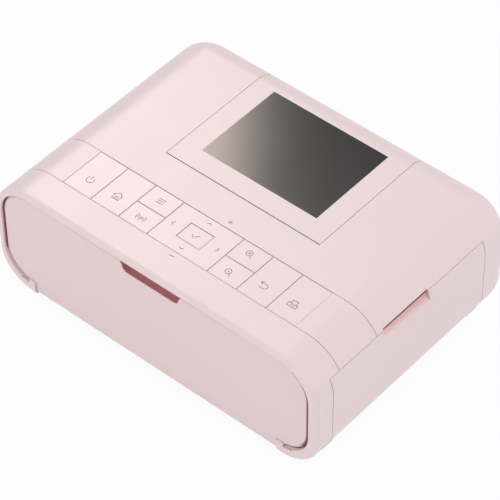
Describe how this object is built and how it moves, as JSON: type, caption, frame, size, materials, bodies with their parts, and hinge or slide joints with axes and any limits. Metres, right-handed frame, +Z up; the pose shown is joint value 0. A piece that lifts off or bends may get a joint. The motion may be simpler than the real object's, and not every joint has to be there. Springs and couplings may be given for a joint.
{
  "type": "compact photo printer",
  "caption": "Compact desktop photo printer with a drop-down front cover, a side ink door, a tilting display panel and a strip of flush keys.",
  "frame": {"origin": "on the table under the middle of the printer's box", "axes": "+X along the width to the right, +Y from the front cover to the rear panel, +Z up"},
  "size_m": [0.1806, 0.1336, 0.0633],
  "materials": {
    "case_pink": "satin moulded plastic, pale pink",
    "cover_pink": "satin moulded plastic, slightly deeper pink",
    "key_pink": "satin key caps, pale pink",
    "foot_grey": "matte light grey rubber",
    "window_black": "glossy dark window over the display",
    "display": "display module in its metal frame",
    "steel": "plated sheet and turned steel",
    "zinc_screw": "zinc-plated screws",
    "frame_grey": "matte grey moulded plastic",
    "gear_white": "natural acetal",
    "bush": "acetal bushes",
    "roller_rubber": "ground black rubber",
    "head": "glazed ceramic on aluminium",
    "heat_sink": "extruded aluminium",
    "board_green": "solder-masked circuit board",
    "socket_metal": "stamped socket shells",
    "black_plastic": "black moulded plastic",
    "dome_rubber": "silicone rubber",
    "cassette_grey": "grey cassette plastic",
    "ink_film": "dye film",
    "brass": "brass pinion"
  },
  "bodies": {
    "root": {"front_frame": "case_pink", "control_strip": "case_pink", "top_cover": "case_pink", "left_side_panel": "case_pink", "bottom_cover": "case_pink", "rear_panel": "case_pink", "foot_pads": "foot_grey", "case_screws": "zinc_screw", "ink_door_rod": "steel", "lcd_hinge_pins": "steel", "dome_sheet": "dome_rubber", "key_board": "board_green", "main_board": "board_green", "card_socket": "socket_metal", "port_board": "board_green", "usb_sockets": "socket_metal", "dc_inlet": "black_plastic", "left_side_plate": "steel", "right_side_plate": "steel", "engine_top_plate": "steel", "roller_bushes": "bush", "paper_bay": "frame_grey", "exit_guide": "frame_grey", "thermal_head": "head", "head_heat_sink": "heat_sink", "drive_motor": "steel", "ink_cassette_case": "cassette_grey", "ink_ribbon": "ink_film", "idler_studs": "steel"},
    "front_cover": {"front_cover": "cover_pink"},
    "ink_door": {"ink_door": "case_pink"},
    "lcd_panel": {"lcd_bezel": "case_pink", "lcd_back_cover": "case_pink", "lcd_window": "window_black", "lcd_module": "display"},
    "pad_gimbal": {"pad_gimbal": "frame_grey"},
    "direction_pad": {"direction_pad": "key_pink"},
    "power_key": {"power_key": "key_pink"},
    "home_key": {"home_key": "key_pink"},
    "menu_key": {"menu_key": "key_pink"},
    "wireless_key": {"wireless_key": "key_pink"},
    "ok_key": {"ok_key": "key_pink"},
    "zoom_in_key": {"zoom_in_key": "key_pink"},
    "zoom_out_key": {"zoom_out_key": "key_pink"},
    "back_key": {"back_key": "key_pink"},
    "print_key": {"print_key": "key_pink"},
    "platen": {"platen_roller": "roller_rubber", "platen_shaft": "steel", "platen_gear": "gear_white"},
    "idler_gear": {"idler_gear": "gear_white"},
    "feed_roller": {"feed_roller": "steel", "feed_gear": "gear_white"},
    "pinch_roller": {"pinch_roller": "roller_rubber"},
    "motor_pinion": {"motor_pinion": "brass"},
    "pickup_idler": {"pickup_idler": "gear_white"},
    "pickup_roller": {"pickup_roller": "roller_rubber", "pickup_gear": "gear_white"},
    "supply_spool": {"supply_spool": "ink_film"},
    "take_up_spool": {"take_up_spool": "ink_film", "take_up_gear": "gear_white"}
  },
  "joints": [
    {"name": "front_cover_hinge", "type": "hinge", "parent": "root", "child": "front_cover", "pos_m": [0, -0.0659, 0.00995], "axis": [1, 0, 0], "range_deg": [0, 90]},
    {"name": "ink_door_hinge", "type": "hinge", "parent": "root", "child": "ink_door", "pos_m": [0.08273, 0, 0.01097], "axis": [0, 1, 0], "range_deg": [0, 80]},
    {"name": "lcd_tilt", "type": "hinge", "parent": "root", "child": "lcd_panel", "pos_m": [0, -0.00505, 0.0593], "axis": [1, 0, 0], "range_deg": [0, 45]},
    {"name": "power_key_press", "type": "slide", "parent": "root", "child": "power_key", "axis": [0, 0, -1], "range_m": [0, 0.0004], "stiffness_N_per_m": 600},
    {"name": "home_key_press", "type": "slide", "parent": "root", "child": "home_key", "axis": [0, 0, -1], "range_m": [0, 0.0004], "stiffness_N_per_m": 600},
    {"name": "menu_key_press", "type": "slide", "parent": "root", "child": "menu_key", "axis": [0, 0, -1], "range_m": [0, 0.0004], "stiffness_N_per_m": 600},
    {"name": "wireless_key_press", "type": "slide", "parent": "root", "child": "wireless_key", "axis": [0, 0, -1], "range_m": [0, 0.0004], "stiffness_N_per_m": 600},
    {"name": "ok_key_press", "type": "slide", "parent": "root", "child": "ok_key", "axis": [0, 0, -1], "range_m": [0, 0.0004], "stiffness_N_per_m": 600},
    {"name": "zoom_in_key_press", "type": "slide", "parent": "root", "child": "zoom_in_key", "axis": [0, 0, -1], "range_m": [0, 0.0004], "stiffness_N_per_m": 600},
    {"name": "zoom_out_key_press", "type": "slide", "parent": "root", "child": "zoom_out_key", "axis": [0, 0, -1], "range_m": [0, 0.0004], "stiffness_N_per_m": 600},
    {"name": "back_key_press", "type": "slide", "parent": "root", "child": "back_key", "axis": [0, 0, -1], "range_m": [0, 0.0004], "stiffness_N_per_m": 600},
    {"name": "print_key_press", "type": "slide", "parent": "root", "child": "print_key", "axis": [0, 0, -1], "range_m": [0, 0.0004], "stiffness_N_per_m": 600},
    {"name": "pad_rock_side", "type": "hinge", "parent": "root", "child": "pad_gimbal", "pos_m": [0, -0.03715, 0.0595], "axis": [1, 0, 0], "range_deg": [-1.1, 1.1], "stiffness_Nm_per_rad": 0.06},
    {"name": "pad_rock_front", "type": "hinge", "parent": "pad_gimbal", "child": "direction_pad", "pos_m": [0, -0.03715, 0.0595], "axis": [0, 1, 0], "range_deg": [-1.1, 1.1], "stiffness_Nm_per_rad": 0.06},
    {"name": "platen_spin", "type": "hinge", "parent": "root", "child": "platen", "pos_m": [0, 0.00985, 0.017], "axis": [1, 0, 0], "continuous": true},
    {"name": "idler_spin", "type": "hinge", "parent": "root", "child": "idler_gear", "pos_m": [0, 0.02875, 0.017], "axis": [1, 0, 0], "continuous": true},
    {"name": "feed_spin", "type": "hinge", "parent": "root", "child": "feed_roller", "pos_m": [0, 0.04465, 0.017], "axis": [1, 0, 0], "continuous": true},
    {"name": "pinch_spin", "type": "hinge", "parent": "root", "child": "pinch_roller", "pos_m": [0, 0.04465, 0.0263], "axis": [1, 0, 0], "continuous": true},
    {"name": "motor_spin", "type": "hinge", "parent": "root", "child": "motor_pinion", "pos_m": [0, -0.00034, 0.02441], "axis": [1, 0, 0], "continuous": true},
    {"name": "pickup_idler_spin", "type": "hinge", "parent": "root", "child": "pickup_idler", "pos_m": [0, -0.01204, 0.02986], "axis": [1, 0, 0], "continuous": true},
    {"name": "pickup_spin", "type": "hinge", "parent": "root", "child": "pickup_roller", "pos_m": [0, -0.02699, 0.03683], "axis": [1, 0, 0], "continuous": true},
    {"name": "supply_spin", "type": "hinge", "parent": "root", "child": "supply_spool", "pos_m": [0, -0.00615, 0.03901], "axis": [1, 0, 0], "continuous": true},
    {"name": "take_up_spin", "type": "hinge", "parent": "root", "child": "take_up_spool", "pos_m": [0, 0.02585, 0.03901], "axis": [1, 0, 0], "continuous": true}
  ],
  "couplings": [
    {"joint": "idler_spin", "follows": "platen_spin", "ratio": -0.90909},
    {"joint": "feed_spin", "follows": "platen_spin", "ratio": 1.5},
    {"joint": "pinch_spin", "follows": "platen_spin", "ratio": -1.875},
    {"joint": "motor_spin", "follows": "platen_spin", "ratio": -2.5},
    {"joint": "pickup_idler_spin", "follows": "platen_spin", "ratio": 0.96774},
    {"joint": "pickup_spin", "follows": "platen_spin", "ratio": -1.25},
    {"joint": "take_up_spin", "follows": "platen_spin", "ratio": 0.73171},
    {"joint": "supply_spin", "follows": "platen_spin", "ratio": 0.4878}
  ]
}
